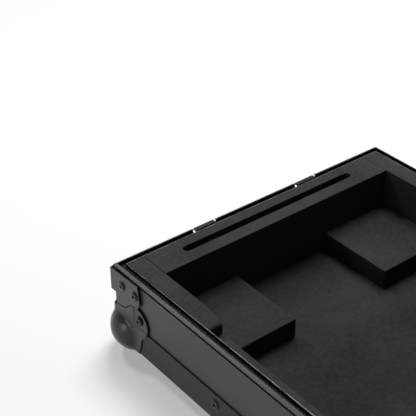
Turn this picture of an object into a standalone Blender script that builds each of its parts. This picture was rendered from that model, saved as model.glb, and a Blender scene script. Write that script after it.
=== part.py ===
# Base tray of a small flight case for a portable turntable, with its lift-off lid taken away.
# Metres, +Z up. The slot side faces +Y and the origin lies on the floor under the middle of the case.

import math

import bmesh
import bpy
from mathutils import Matrix, Vector

# Case and walls
CASE_WIDTH = 0.324
CASE_DEPTH = 0.374
CAVITY_DEPTH = 0.060
PANEL = 0.0055
SHEET = 0.001
FIT = 0.0003

# Foam lining
WALL_FOAM = 0.020
SLOT_FOAM = 0.0345
FLOOR_FOAM = 0.0125
BLOCK_SIDE = 0.080
BLOCK_HEIGHT = 0.020
LOW_EDGE_START = 0.1195
LOW_EDGE_DROP = 0.0155
LOW_EDGE_ROLL = 0.038
LOW_EDGE_ROLL_DROP = 0.006

# Record slot
SLOT_LENGTH = 0.204
SLOT_WIDTH = 0.008
SLOT_DEPTH = 0.015
SLOT_FROM_BACK = 0.024

# Rim extrusion that the lid's tongue drops into
RIM_OVERHANG = 0.0011
RIM_FLANGE = 0.0008
RIM_FLANGE_DROP = 0.0002
RIM_SETBACK = 0.0011
RIM_WALL = 0.001
RIM_GROOVE = 0.0052
RIM_GROOVE_DEPTH = 0.0038
RIM_FLOOR = 0.0011
RIM_LIP = 0.0011
RIM_LEG = 0.001
RIM_LEG_DEPTH = 0.010

# Edge angles
ANGLE_LEG = 0.0295
ANGLE_RADIUS = 0.0022
ANGLE_END_RELIEF = 0.0045

# Ball corners
BALL_RADIUS = 0.0245
BALL_INSET = 0.014
ARM_AT_FOLD = 0.038
ARM_AT_LOBE = 0.0415
LOBE_CENTRE = 0.0357
LOBE_RADIUS = 0.016
NECK_RADIUS = 0.012

# Rim braces
BRACE_CORNER_DROP = 0.0044
BRACE_TOP_LENGTH = 0.0395
BRACE_TOP_DROP = 0.0030
BRACE_LENGTH = 0.042
BRACE_END_DROP = 0.020
BRACE_LOW_LENGTH = 0.0385
BRACE_LOW_DROP = 0.0275
BRACE_NOTCH_START = 0.0276
BRACE_NOTCH = 0.0065
BRACE_SEAM = 0.0006

# Rubber feet
FOOT_HEIGHT = 0.012
FOOT_RADIUS = 0.011
FOOT_TAPER = 0.0015
FOOT_ROUND = 0.0015
FOOT_INSET = 0.060
FOOT_RECESS_RADIUS = 0.0045
FOOT_RECESS_DEPTH = 0.004

# Butterfly latches
LATCH_OFFSET = 0.062
LATCH_SHEET = 0.0012
LATCH_FLANGE_WIDTH = 0.056
LATCH_FLANGE_HEIGHT = 0.042
LATCH_FLANGE_RADIUS = 0.005
LATCH_PAN_WIDTH = 0.042
LATCH_PAN_HEIGHT = 0.030
LATCH_PAN_RADIUS = 0.008
LATCH_PAN_DEPTH = 0.0088
CHANNEL_WIDTH = 0.0235
CHANNEL_DEPTH = 0.0056
CLAW_SHEET = 0.0013
CLAW_SIDE_PLAY = 0.0004
CLAW_FOOT = 0.0025
CLAW_TOP_DROP = 0.0012
CLAW_HOOK_REACH = 0.003
CLAW_HOOK_HEIGHT = 0.002
CLAW_SLOT_PLAY = 0.00075
ECCENTRIC_RADIUS = 0.0045
ECCENTRIC_OFFSET = 0.003
SPINDLE_BASE_RADIUS = 0.008
SPINDLE_HEAD_RADIUS = 0.009
SPINDLE_HEAD = 0.001
SPINDLE_STEM_RADIUS = 0.0025
SPINDLE_RIVET_RADIUS = 0.005
SPINDLE_RIVET = 0.0015
EAR_GAP = 0.0124
EAR_WIDTH = 0.0015
EAR_LENGTH = 0.0034
WING_SHEET = 0.0016
WING_PLAY = 0.0004
WING_PIN_RADIUS = 0.00065
WING_LOBE_RADIUS = 0.0054
WING_LOBE_X = 0.0062
WING_LOBE_Z = 0.0056
WING_HEEL = 0.0008
WING_SHOULDER = 0.0023

# Spring handle
HANDLE_SHEET = 0.0012
HANDLE_FLANGE_WIDTH = 0.112
HANDLE_FLANGE_HEIGHT = 0.042
HANDLE_FLANGE_RADIUS = 0.005
HANDLE_PAN_WIDTH = 0.098
HANDLE_PAN_HEIGHT = 0.032
HANDLE_PAN_RADIUS = 0.004
HANDLE_PAN_DEPTH = 0.013
BAIL_RADIUS = 0.00275
BAIL_ARM_INSET = 0.009
BAIL_BEND = 0.0055
BAIL_PIVOT_DEPTH = 0.0065
GRIP_INSET = 0.009
GRIP_RADIUS = 0.0052
GRIP_END_RADIUS = 0.0045
GRIP_CLEARANCE = 0.001
SPRING_TURNS = 4
SPRING_WIRE = 0.00045
SPRING_RADIUS = 0.0038
SPRING_PITCH = 0.0012

# Levels and depths that follow from the sizes above.
# A depth is counted inwards from the outer face of the edge extrusions.
base_z = FOOT_HEIGHT
panel_out = SHEET + FIT
panel_in = panel_out + PANEL
lining_out = panel_in + FIT
wall_foam_in = lining_out + WALL_FOAM
slot_foam_in = lining_out + SLOT_FOAM
floor_low = base_z + SHEET + FIT
floor_foam_low = floor_low + PANEL + FIT
floor_z = floor_foam_low + FLOOR_FOAM
rim_z = floor_z + CAVITY_DEPTH
rim_base_drop = RIM_GROOVE_DEPTH + RIM_FLOOR
rim_leg_in = lining_out + RIM_LEG
wall_out = panel_out + RIM_SETBACK
groove_out = wall_out + RIM_WALL
lip_out = groove_out + RIM_GROOVE
rim_in = lip_out + RIM_LIP
panel_top = rim_z - rim_base_drop - FIT
angle_top = base_z + ANGLE_LEG
band_z = (rim_z - rim_base_drop + angle_top) / 2
skin_out = FIT + SHEET
bail_arm_x = HANDLE_PAN_WIDTH / 2 - BAIL_ARM_INSET
grip_half = bail_arm_x - GRIP_INSET
bail_pivot_z = HANDLE_PAN_HEIGHT / 2 - HANDLE_PAN_RADIUS - BAIL_RADIUS - FIT
bail_bar_z = GRIP_RADIUS + GRIP_CLEARANCE - HANDLE_PAN_HEIGHT / 2

COLLECTION = "turntable_flight_case"

SIDES = {
    "front": (0, CASE_WIDTH, CASE_DEPTH / 2),
    "right": (90, CASE_DEPTH, CASE_WIDTH / 2),
    "back": (180, CASE_WIDTH, CASE_DEPTH / 2),
    "left": (270, CASE_DEPTH, CASE_WIDTH / 2),
}

CORNERS = {
    "front_left": (0, -1, -1),
    "front_right": (90, 1, -1),
    "back_right": (180, 1, 1),
    "back_left": (270, -1, 1),
}


def clear_scene():
    for item in list(bpy.data.objects):
        bpy.data.objects.remove(item)


def make_collection(name):
    collection = bpy.data.collections.new(name)
    bpy.context.scene.collection.children.link(collection)
    return collection


def make_material(name, colour, roughness, metallic):
    material = bpy.data.materials.new(name)
    material.use_nodes = True
    shader = material.node_tree.nodes["Principled BSDF"]
    shader.inputs["Base Color"].default_value = (*colour, 1.0)
    shader.inputs["Roughness"].default_value = roughness
    shader.inputs["Metallic"].default_value = metallic
    return material


FINISHES = {
    "laminate": ((0.030, 0.030, 0.031), 0.45, 0.0),
    "black_aluminium": ((0.035, 0.035, 0.036), 0.38, 0.6),
    "black_steel": ((0.030, 0.030, 0.031), 0.42, 0.5),
    "foam": ((0.022, 0.022, 0.023), 0.95, 0.0),
    "rubber": ((0.020, 0.020, 0.020), 0.80, 0.0),
    "spring_steel": ((0.45, 0.45, 0.46), 0.30, 1.0),
}


# Plane shapes, each a list of points


def arc(centre, radius, start, end, steps):
    points = []
    for step in range(steps + 1):
        angle = math.radians(start + (end - start) * step / steps)
        x = centre[0] + radius * math.cos(angle)
        y = centre[1] + radius * math.sin(angle)
        points.append((x, y))
    return points


def rectangle(x_low, x_high, y_low, y_high):
    return [(x_low, y_low), (x_high, y_low), (x_high, y_high), (x_low, y_high)]


def rounded_rectangle(width, height, radius, centre=(0, 0), steps=5):
    x = width / 2 - radius
    y = height / 2 - radius
    points = []
    for quarter, (sx, sy) in enumerate([(1, 1), (-1, 1), (-1, -1), (1, -1)]):
        middle = (centre[0] + sx * x, centre[1] + sy * y)
        points += arc(middle, radius, 90 * quarter, 90 * quarter + 90, steps)
    return points


def slot_outline(length, width, centre, steps=8):
    reach = (length - width) / 2
    right = (centre[0] + reach, centre[1])
    left = (centre[0] - reach, centre[1])
    return arc(right, width / 2, -90, 90, steps) + arc(left, width / 2, 90, 270, steps)


# Solids. An axis names the direction that an outline is extruded along:
# outlines are given as (x, y) for z, as (y, z) for x and as (x, z) for y.

TURNS = {
    "z": Matrix.Identity(4),
    "x": Matrix(((0, 0, 1, 0), (1, 0, 0, 0), (0, 1, 0, 0), (0, 0, 0, 1))),
    "y": Matrix(((0, 1, 0, 0), (0, 0, 1, 0), (1, 0, 0, 0), (0, 0, 0, 1))),
}


def clean(mesh):
    work = bmesh.new()
    work.from_mesh(mesh)
    bmesh.ops.remove_doubles(work, verts=work.verts, dist=1e-6)
    bmesh.ops.recalc_face_normals(work, faces=work.faces)
    work.to_mesh(mesh)
    work.free()


def evaluated_mesh(item):
    bpy.context.view_layer.update()
    depsgraph = bpy.context.evaluated_depsgraph_get()
    return bpy.data.meshes.new_from_object(item.evaluated_get(depsgraph))


def curve_mesh(name, curve):
    holder = bpy.data.objects.new(name, curve)
    bpy.context.scene.collection.objects.link(holder)
    mesh = evaluated_mesh(holder)
    bpy.data.objects.remove(holder)
    clean(mesh)
    return mesh


def prism(name, outline, low, high, axis="z", hole=None):
    curve = bpy.data.curves.new(name, "CURVE")
    curve.dimensions = "2D"
    curve.fill_mode = "BOTH"
    curve.extrude = (high - low) / 2
    for points in [outline] + ([hole] if hole else []):
        spline = curve.splines.new("POLY")
        spline.points.add(len(points) - 1)
        for point, (first, second) in zip(spline.points, points):
            pair = (second, first) if axis == "y" else (first, second)
            point.co = (*pair, 0, 1)
        spline.use_cyclic_u = True
    mesh = curve_mesh(name, curve)
    mesh.transform(TURNS[axis] @ Matrix.Translation((0, 0, (low + high) / 2)))
    return mesh


def box(name, low, high):
    work = bmesh.new()
    bmesh.ops.create_cube(work, size=1.0)
    size = Vector(high) - Vector(low)
    middle = (Vector(high) + Vector(low)) / 2
    bmesh.ops.transform(work, verts=work.verts, matrix=Matrix.LocRotScale(middle, None, size))
    mesh = bpy.data.meshes.new(name)
    work.to_mesh(mesh)
    work.free()
    return mesh


def cylinder(name, radius, low, high, axis="z", centre=(0, 0), sides=24):
    work = bmesh.new()
    bmesh.ops.create_cone(
        work, cap_ends=True, segments=sides, radius1=radius, radius2=radius, depth=high - low
    )
    mesh = bpy.data.meshes.new(name)
    work.to_mesh(mesh)
    work.free()
    pair = (centre[1], centre[0]) if axis == "y" else centre
    mesh.transform(TURNS[axis] @ Matrix.Translation((*pair, (low + high) / 2)))
    return mesh


def turned(name, profile, sides):
    work = bmesh.new()
    verts = [work.verts.new((radius, 0, height)) for radius, height in profile]
    for first, second in zip(verts, verts[1:]):
        work.edges.new((first, second))
    mesh = bpy.data.meshes.new(name)
    work.to_mesh(mesh)
    work.free()
    holder = bpy.data.objects.new(name, mesh)
    bpy.context.scene.collection.objects.link(holder)
    screw = holder.modifiers.new("Screw", "SCREW")
    screw.axis = "Z"
    screw.steps = sides
    screw.render_steps = sides
    screw.use_merge_vertices = True
    screw.merge_threshold = 0.00001
    result = evaluated_mesh(holder)
    bpy.data.objects.remove(holder)
    clean(result)
    return result


def tube(name, points, radius, resolution, cyclic=False):
    curve = bpy.data.curves.new(name, "CURVE")
    curve.dimensions = "3D"
    curve.bevel_depth = radius
    curve.bevel_resolution = resolution
    curve.use_fill_caps = not cyclic
    spline = curve.splines.new("POLY")
    spline.points.add(len(points) - 1)
    for point, place in zip(spline.points, points):
        point.co = (*place, 1)
    return curve_mesh(name, curve)


# Booleans between meshes, for shapes that several objects share


def combined(base, tools, operation):
    target = bpy.data.objects.new("work_target", base)
    bpy.context.scene.collection.objects.link(target)
    helpers = []
    for tool in tools:
        helper = bpy.data.objects.new("work_tool", tool)
        bpy.context.scene.collection.objects.link(helper)
        modifier = target.modifiers.new("Boolean", "BOOLEAN")
        modifier.operation = operation
        modifier.solver = "EXACT"
        modifier.object = helper
        helpers.append(helper)
    result = evaluated_mesh(target)
    for item in [target] + helpers:
        bpy.data.objects.remove(item)
    clean(result)
    return result


def joined(base, *tools):
    return combined(base, tools, "UNION")


def cut(base, *tools):
    return combined(base, tools, "DIFFERENCE")


def placed(mesh, matrix):
    copy = mesh.copy()
    copy.transform(matrix)
    return copy


# Places on the case


def side_matrix(side, along=0.0, height=0.0):
    angle, length, distance = SIDES[side]
    turn = Matrix.Rotation(math.radians(angle), 4, "Z")
    return turn @ Matrix.Translation((along, -distance, height))


def corner_matrix(corner):
    angle, sx, sy = CORNERS[corner]
    place = Matrix.Translation((sx * CASE_WIDTH / 2, sy * CASE_DEPTH / 2, 0))
    return place @ Matrix.Rotation(math.radians(angle), 4, "Z")


class Case:
    # Holds the two collections and puts finished pieces into them.

    def __init__(self):
        clear_scene()
        self.parts = make_collection(COLLECTION)
        self.cutters = make_collection("cutters")
        self.materials = {name: make_material(name, *look) for name, look in FINISHES.items()}

    def add(self, name, mesh, finish, matrix=Matrix.Identity(4), smooth=None):
        if smooth:
            mesh.shade_smooth()
            mesh.set_sharp_from_angle(angle=math.radians(smooth))
        item = bpy.data.objects.new(name, mesh)
        item.matrix_world = matrix
        material = self.materials[finish].copy()
        material.name = name
        if not mesh.materials:
            mesh.materials.append(material)
        item.material_slots[0].link = "OBJECT"
        item.material_slots[0].material = material
        self.parts.objects.link(item)
        return item

    def add_cutter(self, name, mesh, matrix=Matrix.Identity(4)):
        item = bpy.data.objects.new(name, mesh)
        item.matrix_world = matrix
        item.hide_render = True
        item.display_type = "WIRE"
        self.cutters.objects.link(item)
        return item

    def cut_with(self, item, cutters):
        for cutter in cutters:
            modifier = item.modifiers.new("Cut " + cutter.name, "BOOLEAN")
            modifier.operation = "DIFFERENCE"
            modifier.solver = "EXACT"
            modifier.object = cutter


# Latch dish: a flange on the panel, a pan behind it and a channel up through the rim


def latch_body(grow):
    pan = prism(
        "latch_pan",
        rounded_rectangle(
            LATCH_PAN_WIDTH + 2 * (LATCH_SHEET + grow),
            LATCH_PAN_HEIGHT + 2 * (LATCH_SHEET + grow),
            LATCH_PAN_RADIUS + LATCH_SHEET + grow,
        ),
        panel_out - FIT - LATCH_SHEET - grow,
        LATCH_PAN_DEPTH + LATCH_SHEET + grow,
        "y",
    )
    half = CHANNEL_WIDTH / 2 + LATCH_SHEET + grow
    channel = box(
        "latch_channel",
        (-half, panel_out - FIT - LATCH_SHEET - grow, 0),
        (half, CHANNEL_DEPTH + LATCH_SHEET + grow, panel_top + grow - band_z),
    )
    return joined(pan, channel)


def latch_cutter():
    # The room that the panel, the rim and the foam leave for a dish and its rivet head.
    body = latch_body(FIT)
    room = prism(
        "latch_front_room",
        rectangle(
            -CHANNEL_WIDTH / 2 - LATCH_SHEET - FIT,
            CHANNEL_WIDTH / 2 + LATCH_SHEET + FIT,
            0,
            rim_z + PANEL - band_z,
        ),
        -PANEL,
        CHANNEL_DEPTH + LATCH_SHEET + FIT,
        "y",
    )
    head = cylinder(
        "latch_head_room",
        SPINDLE_RIVET_RADIUS + FIT,
        LATCH_PAN_DEPTH,
        LATCH_PAN_DEPTH + LATCH_SHEET + SPINDLE_RIVET + 2 * FIT,
        "y",
    )
    return joined(body, room, head)


def latch_dish():
    flange = prism(
        "latch_flange",
        rounded_rectangle(LATCH_FLANGE_WIDTH, LATCH_FLANGE_HEIGHT, LATCH_FLANGE_RADIUS),
        panel_out - FIT - LATCH_SHEET,
        panel_out - FIT,
        "y",
    )
    pan_room = prism(
        "latch_pan_room",
        rounded_rectangle(LATCH_PAN_WIDTH, LATCH_PAN_HEIGHT, LATCH_PAN_RADIUS),
        -PANEL,
        LATCH_PAN_DEPTH,
        "y",
    )
    channel_room = box(
        "latch_channel_room",
        (-CHANNEL_WIDTH / 2, -PANEL, 0),
        (CHANNEL_WIDTH / 2, CHANNEL_DEPTH, rim_z + PANEL - band_z),
    )
    stem_room = cylinder(
        "latch_stem_room", SPINDLE_STEM_RADIUS + FIT, 0, 2 * LATCH_PAN_DEPTH, "y", sides=16
    )
    return cut(joined(latch_body(0), flange), pan_room, channel_room, stem_room)


claw_back = CHANNEL_DEPTH - FIT
claw_front = claw_back - CLAW_SHEET
head_back = claw_front - FIT
head_front = head_back - SPINDLE_HEAD
wing_axis_depth = head_front - WING_SHEET / 2 - WING_PLAY
claw_travel = 2 * ECCENTRIC_OFFSET


def latch_claw():
    half = CHANNEL_WIDTH / 2 - CLAW_SIDE_PLAY
    slot_height = 2 * (ECCENTRIC_RADIUS + CLAW_SLOT_PLAY)
    slot_width = slot_height + 2 * ECCENTRIC_OFFSET
    low = -ECCENTRIC_OFFSET - slot_height / 2 - CLAW_FOOT
    top = rim_z - CLAW_TOP_DROP - band_z
    plate = prism(
        "claw_plate",
        rectangle(-half, half, low, top),
        claw_front,
        claw_back,
        "y",
        slot_outline(slot_width, slot_height, (0, -ECCENTRIC_OFFSET)),
    )
    hook = box(
        "claw_hook",
        (-half, claw_front - CLAW_HOOK_REACH, top - CLAW_HOOK_HEIGHT),
        (half, (claw_front + claw_back) / 2, top),
    )
    return joined(plate, hook)


def latch_spindle():
    base_front = CHANNEL_DEPTH
    base_back = LATCH_PAN_DEPTH - FIT
    rivet_front = LATCH_PAN_DEPTH + LATCH_SHEET + FIT
    base = cylinder("spindle_base", SPINDLE_BASE_RADIUS, base_front, base_back, "y")
    eccentric = cylinder(
        "spindle_eccentric",
        ECCENTRIC_RADIUS,
        (head_front + head_back) / 2,
        (base_front + base_back) / 2,
        "y",
        (0, -ECCENTRIC_OFFSET),
    )
    head = cylinder("spindle_head", SPINDLE_HEAD_RADIUS, head_front, head_back, "y")
    stem = cylinder(
        "spindle_stem",
        SPINDLE_STEM_RADIUS,
        (base_front + base_back) / 2,
        rivet_front + SPINDLE_RIVET / 2,
        "y",
        sides=16,
    )
    rivet = cylinder(
        "spindle_rivet", SPINDLE_RIVET_RADIUS, rivet_front, rivet_front + SPINDLE_RIVET, "y", sides=16
    )
    ears = []
    for sign in (-1, 1):
        inner = EAR_GAP / 2
        outer = EAR_GAP / 2 + EAR_WIDTH
        ears.append(
            box(
                "spindle_ear",
                (min(sign * inner, sign * outer), panel_out - LATCH_SHEET, -EAR_LENGTH / 2),
                (max(sign * inner, sign * outer), (head_front + head_back) / 2, EAR_LENGTH / 2),
            )
        )
    pin_room = cylinder(
        "ear_holes",
        WING_PIN_RADIUS + FIT,
        -EAR_GAP,
        EAR_GAP,
        "x",
        (wing_axis_depth, 0),
        12,
    )
    return cut(joined(base, eccentric, head, stem, rivet, *ears), pin_room)


def latch_wing():
    # Flat outline, hinged along its heel and open to both sides of the ears.
    neck = EAR_GAP / 2 - FIT
    start = math.degrees(math.asin((WING_LOBE_Z - WING_SHOULDER) / WING_LOBE_RADIUS))
    lobe = arc((WING_LOBE_X, -WING_LOBE_Z), WING_LOBE_RADIUS, start, -160, 10)
    half = [(neck, WING_HEEL), (neck, -WING_SHOULDER)] + lobe
    outline = half + [(-x, z) for x, z in reversed(half)]
    plate = prism(
        "wing_plate",
        outline,
        wing_axis_depth - WING_SHEET / 2,
        wing_axis_depth + WING_SHEET / 2,
        "y",
    )
    reach = EAR_GAP / 2 + EAR_WIDTH - FIT
    pin = cylinder("wing_pin", WING_PIN_RADIUS, -reach, reach, "x", (wing_axis_depth, 0), 12)
    return joined(plate, pin)


# Handle dish, bail, grip and springs


def handle_body(grow):
    return prism(
        "handle_pan",
        rounded_rectangle(
            HANDLE_PAN_WIDTH + 2 * (HANDLE_SHEET + grow),
            HANDLE_PAN_HEIGHT + 2 * (HANDLE_SHEET + grow),
            HANDLE_PAN_RADIUS + HANDLE_SHEET + grow,
        ),
        panel_out - FIT - HANDLE_SHEET - grow,
        HANDLE_PAN_DEPTH + HANDLE_SHEET + grow,
        "y",
    )


def handle_dish():
    flange = prism(
        "handle_flange",
        rounded_rectangle(HANDLE_FLANGE_WIDTH, HANDLE_FLANGE_HEIGHT, HANDLE_FLANGE_RADIUS),
        panel_out - FIT - HANDLE_SHEET,
        panel_out - FIT,
        "y",
    )
    room = prism(
        "handle_room",
        rounded_rectangle(HANDLE_PAN_WIDTH, HANDLE_PAN_HEIGHT, HANDLE_PAN_RADIUS),
        -PANEL,
        HANDLE_PAN_DEPTH,
        "y",
    )
    pivots = cylinder(
        "handle_pivots",
        BAIL_RADIUS + FIT,
        -HANDLE_PAN_WIDTH,
        HANDLE_PAN_WIDTH,
        "x",
        (BAIL_PIVOT_DEPTH, bail_pivot_z),
        16,
    )
    return cut(joined(handle_body(0), flange), room, pivots)


def handle_bail():
    # A bent rod: a pivot stub, an arm, the bar, and the same again mirrored.
    stub = HANDLE_PAN_WIDTH / 2 + HANDLE_SHEET - FIT
    half = [(stub, bail_pivot_z)]
    half += arc((bail_arm_x + BAIL_BEND, bail_pivot_z - BAIL_BEND), BAIL_BEND, 90, 180, 4)
    half += arc((bail_arm_x - BAIL_BEND, bail_bar_z + BAIL_BEND), BAIL_BEND, 0, -90, 4)
    places = half + [(-x, z) for x, z in reversed(half)]
    return tube("bail_rod", [(x, BAIL_PIVOT_DEPTH, z) for x, z in places], BAIL_RADIUS, 3)


def handle_grip():
    # A rubber sleeve over the bar, a little fuller in the middle.
    inner = BAIL_RADIUS + FIT
    profile = [(inner, grip_half)]
    for step in range(9):
        place = 1 - step / 4
        radius = GRIP_END_RADIUS + (GRIP_RADIUS - GRIP_END_RADIUS) * (1 - place**2)
        profile.append((radius, grip_half * place))
    profile += [(inner, -grip_half), (inner, grip_half)]
    sleeve = turned("grip_sleeve", profile, 20)
    turn = Matrix.Rotation(math.radians(90), 4, "Y")
    sleeve.transform(Matrix.Translation((0, BAIL_PIVOT_DEPTH, bail_bar_z)) @ turn)
    return sleeve


def handle_spring(sign):
    # A coil round the pivot stub, between the arm's bend and the dish wall.
    length = SPRING_TURNS * SPRING_PITCH
    start = HANDLE_PAN_WIDTH / 2 - FIT - SPRING_WIRE - length
    points = []
    for step in range(SPRING_TURNS * 10 + 1):
        angle = 2 * math.pi * step / 10
        points.append(
            (
                sign * (start + SPRING_PITCH * step / 10),
                BAIL_PIVOT_DEPTH + SPRING_RADIUS * math.cos(angle),
                bail_pivot_z + SPRING_RADIUS * math.sin(angle),
            )
        )
    return tube("spring_coil", points, SPRING_WIRE, 1)


# Edge extrusions with mitred ends


def mitred_bar(name, profile, length, relief):
    bar = prism(name, profile, -length / 2, length / 2, "x")
    for vert in bar.vertices:
        reach = length / 2 - vert.co.y - relief
        vert.co.x = math.copysign(reach, vert.co.x)
    return bar


def rim_profile():
    flange_low = -RIM_FLANGE_DROP - RIM_FLANGE
    return [
        (wall_out, -rim_base_drop),
        (wall_out, flange_low),
        (-RIM_OVERHANG, flange_low),
        (-RIM_OVERHANG, -RIM_FLANGE_DROP),
        (groove_out, -RIM_FLANGE_DROP),
        (groove_out, -RIM_GROOVE_DEPTH),
        (lip_out, -RIM_GROOVE_DEPTH),
        (lip_out, 0),
        (rim_in, 0),
        (rim_in, -rim_base_drop),
        (rim_leg_in, -rim_base_drop),
        (rim_leg_in, -RIM_LEG_DEPTH),
        (lining_out, -RIM_LEG_DEPTH),
        (lining_out, -rim_base_drop),
    ]


def angle_profile():
    outer = arc((ANGLE_RADIUS, ANGLE_RADIUS), ANGLE_RADIUS, 180, 270, 4)
    inner = [(ANGLE_LEG, 0), (ANGLE_LEG, SHEET), (SHEET, SHEET), (SHEET, ANGLE_LEG), (0, ANGLE_LEG)]
    return outer + inner


# Pressed steel corners. Each is drawn for a corner at the origin whose case lies towards +X and +Y.


def ball_outline(grow=0.0):
    # One face of the ball corner, seen square on: two arms along the edges and a riveted lobe,
    # with a hollow fillet between an arm and the lobe that touches both.
    outside = -2 * (BALL_RADIUS - BALL_INSET)
    fold = ARM_AT_FOLD + grow
    rise = ARM_AT_LOBE + NECK_RADIUS - LOBE_CENTRE
    reach = math.sqrt((LOBE_RADIUS + NECK_RADIUS) ** 2 - rise**2)
    neck_centre = (LOBE_CENTRE - reach, LOBE_CENTRE + rise)
    tangent = math.degrees(math.atan2(rise, -reach))
    neck = arc(neck_centre, NECK_RADIUS - grow, -90, tangent - 180, 4)
    lobe = arc((LOBE_CENTRE, LOBE_CENTRE), LOBE_RADIUS + grow, tangent, 90 - tangent, 16)
    points = [(outside, outside), (outside, fold), (0, fold)]
    points += neck + lobe[1:-1]
    points += [(y, x) for x, y in reversed(neck)]
    points += [(fold, 0), (fold, outside)]
    return points


def rounded_corner_block(name, face, far, radius):
    # A cube whose three edges at the corner nearest the origin are rounded.
    mesh = box(name, (-face, -face, -face), (far, far, far))
    work = bmesh.new()
    work.from_mesh(mesh)
    near = [
        edge
        for edge in work.edges
        if sum(all(abs(v.co[axis] + face) < 1e-6 for v in edge.verts) for axis in range(3)) == 2
    ]
    bmesh.ops.bevel(
        work, geom=near, offset=radius, segments=4, profile=0.5, affect="EDGES", clamp_overlap=True
    )
    work.to_mesh(mesh)
    work.free()
    clean(mesh)
    return mesh


def ball(name, radius, segments):
    work = bmesh.new()
    bmesh.ops.create_uvsphere(work, u_segments=segments, v_segments=segments // 2, radius=radius)
    mesh = bpy.data.meshes.new(name)
    work.to_mesh(mesh)
    work.free()
    mesh.transform(Matrix.Translation((BALL_INSET, BALL_INSET, BALL_INSET)))
    return mesh


def ball_form(face, far, fold_radius, radius, segments):
    # A rounded block whose corner is taken off and filled by the ball.
    block = rounded_corner_block("ball_block", face, far, fold_radius)
    edge = -2 * skin_out
    tip = box("ball_tip", (edge, edge, edge), (BALL_INSET, BALL_INSET, BALL_INSET))
    return joined(cut(block, tip), ball("ball", radius, segments))


def ball_corner():
    far = LOBE_CENTRE + LOBE_RADIUS + SHEET
    fold_radius = ANGLE_RADIUS + FIT
    outer = ball_form(skin_out, far, fold_radius + SHEET, BALL_RADIUS, 36)
    inner = ball_form(FIT, far + SHEET, fold_radius, BALL_RADIUS - SHEET, 20)
    shell = cut(outer, inner)
    depth = fold_radius + FIT
    reach = -2 * (BALL_RADIUS - BALL_INSET)
    faces = [prism("ball_face", ball_outline(), reach, depth, axis) for axis in "zxy"]
    return combined(shell, [joined(*faces)], "INTERSECT")


def rim_brace():
    # Two legs that hook round the corner under the rim, cut to the ball corner's outline.
    low = rim_z - base_z - ARM_AT_FOLD
    low_level = -low - BRACE_SEAM
    leg_outline = [
        (-skin_out, low_level),
        (BRACE_LOW_LENGTH, low_level),
        (BRACE_LOW_LENGTH, -BRACE_LOW_DROP),
        (BRACE_LENGTH, -BRACE_END_DROP),
        (BRACE_TOP_LENGTH, -BRACE_TOP_DROP),
        (-skin_out, -BRACE_CORNER_DROP),
    ]
    first = prism("brace_leg", leg_outline, -skin_out, -FIT, "y")
    second = prism("brace_leg", leg_outline, -skin_out, -FIT, "x")
    legs = joined(first, second)
    legs.transform(Matrix.Translation((0, 0, rim_z)))
    base = Matrix.Translation((0, 0, base_z))
    face_cutters = []
    for axis in "xy":
        cutter = prism("brace_seam", ball_outline(BRACE_SEAM), -2 * skin_out, 0, axis)
        face_cutters.append(placed(cutter, base))
    notch = box(
        "brace_notch",
        (-2 * skin_out, -2 * skin_out, base_z),
        (BRACE_NOTCH, BRACE_NOTCH, rim_z - BRACE_NOTCH_START),
    )
    return cut(legs, *face_cutters, notch)


def corner_angle():
    # It backs the rim brace and ends where the brace's notch begins.
    return prism("corner_angle", angle_profile(), rim_z - BRACE_NOTCH_START, panel_top, "z")


def rubber_foot():
    height = FOOT_HEIGHT + SHEET
    low_radius = FOOT_RADIUS - FOOT_TAPER
    rounding = arc((low_radius - FOOT_ROUND, FOOT_ROUND), FOOT_ROUND, 0, -90, 3)
    profile = [(0, height), (FOOT_RADIUS, height)] + rounding
    profile += [(FOOT_RECESS_RADIUS, 0), (FOOT_RECESS_RADIUS, FOOT_RECESS_DEPTH), (0, FOOT_RECESS_DEPTH)]
    return turned("foot", profile, 24)


# Assembly


def add_latches(case):
    parts = {
        "dish": (latch_dish(), "black_steel", 30),
        "claw": (latch_claw(), "black_steel", 30),
        "spindle": (latch_spindle(), "black_steel", 30),
        "wing": (latch_wing(), "black_steel", 30),
    }
    room = latch_cutter()
    cutters = {"front": [], "back": []}
    for side in cutters:
        for along, hand in ((-LATCH_OFFSET, "left"), (LATCH_OFFSET, "right")):
            if side == "back":
                hand = {"left": "right", "right": "left"}[hand]
            label = f"latch_{side}_{hand}"
            matrix = side_matrix(side, along, band_z)
            for name, (mesh, finish, smooth) in parts.items():
                case.add(f"{label}_{name}", mesh, finish, matrix, smooth)
            cutters[side].append(case.add_cutter(label + "_room", room, matrix))
    return cutters


def add_handle(case):
    matrix = side_matrix("right", 0, band_z)
    case.add("handle_dish", handle_dish(), "black_steel", matrix, 30)
    case.add("handle_bail", handle_bail(), "black_steel", matrix, 40)
    case.add("handle_grip", handle_grip(), "rubber", matrix, 40)
    case.add("handle_spring_front", handle_spring(-1), "spring_steel", matrix, 60)
    case.add("handle_spring_back", handle_spring(1), "spring_steel", matrix, 60)
    return case.add_cutter("handle_room", handle_body(FIT), matrix)


def add_panels(case, latch_rooms, handle_room):
    half_x = CASE_WIDTH / 2
    half_y = CASE_DEPTH / 2
    rooms = {"front": latch_rooms["front"], "back": latch_rooms["back"], "right": [handle_room], "left": []}
    for side, (angle, length, distance) in SIDES.items():
        inset = panel_out if side in ("left", "right") else panel_in + FIT
        reach = length / 2 - inset
        mesh = box(side + "_panel", (-reach, panel_out, floor_low), (reach, panel_in, panel_top))
        panel = case.add(side + "_panel", mesh, "laminate", side_matrix(side))
        case.cut_with(panel, rooms[side])
    x = half_x - panel_in - FIT
    y = half_y - panel_in - FIT
    case.add("bottom_panel", box("bottom_panel", (-x, -y, floor_low), (x, y, floor_low + PANEL)), "laminate")


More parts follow.
